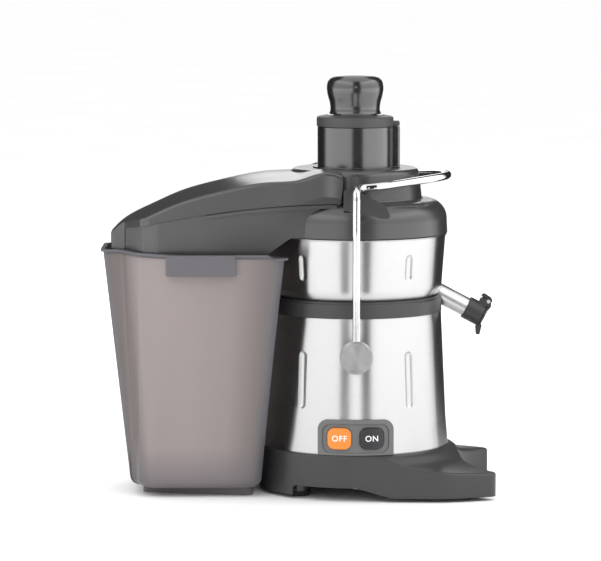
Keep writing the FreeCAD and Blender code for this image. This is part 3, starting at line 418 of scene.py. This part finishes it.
def smooth_run(points):
    """A run of points eased through the given ones, as a Catmull-Rom curve."""
    run = []
    ends = [points[0]] + points + [points[-1]]
    for before, start, end, after in zip(ends, ends[1:], ends[2:], ends[3:]):
        for step in range(EASE_STEPS):
            t = step / EASE_STEPS
            run.append(tuple(0.5 * (2 * b + (c - a) * t + (2 * a - 5 * b + 4 * c - d) * t ** 2
                                    + (3 * b - a - 3 * c + d) * t ** 3)
                             for a, b, c, d in zip(before, start, end, after)))
    return run + [points[-1]]


def lathe(made, profile):
    """Turns (radius, height) points in millimetres about the motor axis, closed at both ends."""
    rings = []
    for radius, height in profile:
        reach, z = radius / 1000, height / 1000
        if radius == 0:
            rings.append([made.verts.new((AXIS_X, 0, z))])
            continue
        ring = []
        for i in range(TURNS):
            angle = 2 * math.pi * i / TURNS
            ring.append(made.verts.new((AXIS_X + reach * math.cos(angle), reach * math.sin(angle), z)))
        rings.append(ring)
    for upper, lower in zip(rings, rings[1:]):
        for i in range(TURNS):
            j = (i + 1) % TURNS
            if len(upper) == 1:
                made.faces.new((upper[0], lower[i], lower[j]))
            elif len(lower) == 1:
                made.faces.new((upper[j], upper[i], lower[0]))
            else:
                made.faces.new((upper[i], lower[i], lower[j], upper[j]))


def rounded_block(made, low, high, radius):
    """A block between two corners, in metres, with its edges rounded."""
    block = bmesh.ops.create_cube(made, size=1.0)["verts"]
    for vertex in block:
        for axis in range(3):
            middle, size = (low[axis] + high[axis]) / 2, high[axis] - low[axis]
            vertex.co[axis] = middle + vertex.co[axis] * size
    edges = {edge for vertex in block for edge in vertex.link_edges}
    bmesh.ops.bevel(made, geom=list(edges), offset=radius, segments=4, profile=0.5, affect="EDGES")


def turned_pusher():
    """The pusher, whose grip swells and narrows in one smooth sweep above the collar that stops it."""
    made = bmesh.new()
    lathe(made, smooth_run(DOME) + COLLAR + BARREL)
    rounded_block(made, *TAB)
    rounded_block(made, *KEY)
    bmesh.ops.recalc_face_normals(made, faces=made.faces)
    mesh = bpy.data.meshes.new("pusher_turned")
    made.to_mesh(mesh)
    made.free()
    mesh.shade_smooth()
    mesh.set_sharp_from_angle(angle=math.radians(35))
    mesh.materials.append(MATERIALS["gloss_plastic"])
    piece = bpy.data.objects.new("pusher_turned", mesh)
    bpy.context.collection.objects.link(piece)
    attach(piece, "pusher_body")
    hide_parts("pusher")


turned_pusher()

# ---- labels ---------------------------------------------------------------------------------
LETTER_HEIGHT = 0.0072
CAPITAL_SHARE = 0.70
LETTER_GAP = 0.00012
RAY_START = 0.05


def label(text, button, body):
    """Printed letters without thickness, laid just in front of a button's curved face."""
    curve = bpy.data.curves.new("label_" + text.lower(), "FONT")
    curve.body = text
    curve.size = LETTER_HEIGHT / CAPITAL_SHARE
    curve.align_x = "CENTER"
    curve.align_y = "CENTER"
    curve.offset = LETTER_HEIGHT * 0.015
    curve.space_character = 1.12
    curve.resolution_u = 6
    flat = bpy.data.objects.new("label_curve", curve)
    bpy.context.collection.objects.link(flat)
    graph = bpy.context.evaluated_depsgraph_get()
    mesh = bpy.data.meshes.new_from_object(flat.evaluated_get(graph))
    bpy.data.objects.remove(flat)
    low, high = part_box(button)
    middle = [(low[i] + high[i]) / 2 for i in range(3)]
    for vertex in mesh.vertices:
        x, z = middle[0] + vertex.co.x, middle[2] + vertex.co.y
        start = Vector((x, low[1] - RAY_START, z))
        face_point = nodes[button].ray_cast(start, Vector((0, 1, 0)))[1]
        vertex.co = (x, face_point.y - LETTER_GAP, z)
    made = bpy.data.objects.new("label_" + text.lower(), mesh)
    bpy.context.collection.objects.link(made)
    mesh.materials.append(MATERIALS["label_ink"])
    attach(made, body)


label("OFF", "off_button", "off_switch")
label("ON", "on_button", "on_switch")

# ---- stage ----------------------------------------------------------------------------------
FLOOR_REACH = 60.0
SOFT_BOX_DISTANCE = 1.7
SOFT_BOX_FOOT = 0.05
CARD_DISTANCE = 0.6
CARD_HEAD = 1.3
# The low cards end and the upper one starts at this height.
CARD_SPLIT = 0.30


def floor():
    reach = FLOOR_REACH
    corners = [(-reach, -reach, 0), (reach, -reach, 0), (reach, reach, 0), (-reach, reach, 0)]
    mesh = bpy.data.meshes.new("floor")
    mesh.from_pydata(corners, [], [(0, 1, 2, 3)])
    made = bpy.data.objects.new("floor", mesh)
    bpy.context.collection.objects.link(made)
    g = Graph("floor_white")
    paper = g.noise((3, 3, 3))
    g.feed(Base_Color=g.ramp(paper, [(0.3, (0.93, 0.93, 0.93)), (0.7, (0.95, 0.95, 0.95))]))
    g.set(Roughness=0.9, Specular_IOR_Level=0.1)
    mesh.materials.append(g.material)


def around_axis(azimuth, distance, height):
    """A place around the motor axis. Azimuth 0 is in front, and positive to the right."""
    turn = math.radians(azimuth)
    return Vector((AXIS_X + distance * math.sin(turn), -distance * math.cos(turn), height))


def area_light(name, place, target, width, height, radiance):
    """A light whose power follows from its size and how bright it looks."""
    data = bpy.data.lights.new(name, "AREA")
    data.shape = "RECTANGLE"
    data.size = width
    data.size_y = height
    data.energy = radiance * math.pi * width * height
    made = bpy.data.objects.new(name, data)
    made.location = place
    made.rotation_euler = (Vector(target) - Vector(place)).to_track_quat("-Z", "Y").to_euler()
    bpy.context.collection.objects.link(made)


def soft_box(name, start, end, height, radiance):
    """A soft box that fills the azimuths from start to end, just off the floor and turned to the axis."""
    width = 2 * SOFT_BOX_DISTANCE * math.tan(math.radians((end - start) / 2))
    place = around_axis((start + end) / 2, SOFT_BOX_DISTANCE, height / 2 + SOFT_BOX_FOOT)
    area_light(name, place, (AXIS_X, 0, height / 2), width, height, radiance)


def dark_card(name, start, end, distance=CARD_DISTANCE, foot=0.001, head=CARD_HEAD):
    """A black flag over a range of azimuths, seen only in reflections: a dark band in steel and gloss."""
    ends = (start, end)
    corners = [around_axis(azimuth, distance, foot) for azimuth in ends]
    corners += [around_axis(azimuth, distance, head) for azimuth in reversed(ends)]
    mesh = bpy.data.meshes.new(name)
    mesh.from_pydata(corners, [], [(0, 1, 2, 3)])
    made = bpy.data.objects.new(name, mesh)
    bpy.context.collection.objects.link(made)
    g = Graph(name)
    g.set(Base_Color=(0.01, 0.01, 0.01, 1.0), Roughness=1.0)
    mesh.materials.append(g.material)
    for ray in ("camera", "diffuse", "shadow", "transmission"):
        setattr(made, "visible_" + ray, False)


def surroundings():
    """A white sky that turns grey near the horizon."""
    world = bpy.data.worlds.new("studio")
    bpy.context.scene.world = world
    world.use_nodes = True
    tree = world.node_tree
    source = tree.nodes.new("ShaderNodeTexCoord")
    split = tree.nodes.new("ShaderNodeSeparateXYZ")
    ramp = tree.nodes.new("ShaderNodeValToRGB")
    low, high = ramp.color_ramp.elements
    low.position = 0.30
    low.color = (0.22, 0.22, 0.22, 1.0)
    high.position = 0.60
    high.color = (1.0, 1.0, 1.0, 1.0)
    tree.links.new(source.outputs["Generated"], split.inputs["Vector"])
    tree.links.new(split.outputs["Z"], ramp.inputs["Fac"])
    tree.links.new(ramp.outputs["Color"], tree.nodes["Background"].inputs["Color"])
    tree.nodes["Background"].inputs["Strength"].default_value = 1.28


def camera():
    data = bpy.data.cameras.new("camera")
    data.sensor_width = 36.0
    data.lens = 206.7
    data.clip_end = 200.0
    made = bpy.data.objects.new("camera", data)
    made.location = (0.0038, -4.4366, 0.7359)
    made.rotation_euler = (math.radians(84), 0, 0)
    bpy.context.collection.objects.link(made)
    bpy.context.scene.camera = made


camera()
floor()
surroundings()
soft_box("light_left", -100, -9, height=2.4, radiance=0.95)
soft_box("light_right", 17.5, 112, height=2.4, radiance=1.15)
soft_box("light_middle", -7.5, 7.5, height=0.45, radiance=1.2)
area_light("light_back", (AXIS_X, 3.0, 1.75), (AXIS_X, 0, 0.4), width=5.0, height=2.0, radiance=1.6)
area_light("light_flash", around_axis(2, 3.2, 1.15), (AXIS_X, 0, 0.5), width=0.14, height=0.14, radiance=40)
dark_card("card_low_left", -17.5, -7.5, head=CARD_SPLIT)
dark_card("card_low_right", 7.5, 17.5, head=CARD_SPLIT)
dark_card("card_top", -9, 22, foot=CARD_SPLIT)
dark_card("card_right", 113, 160, distance=0.52)
dark_card("card_left", -160, -102, distance=0.56)
bpy.context.scene.view_settings.view_transform = "Standard"
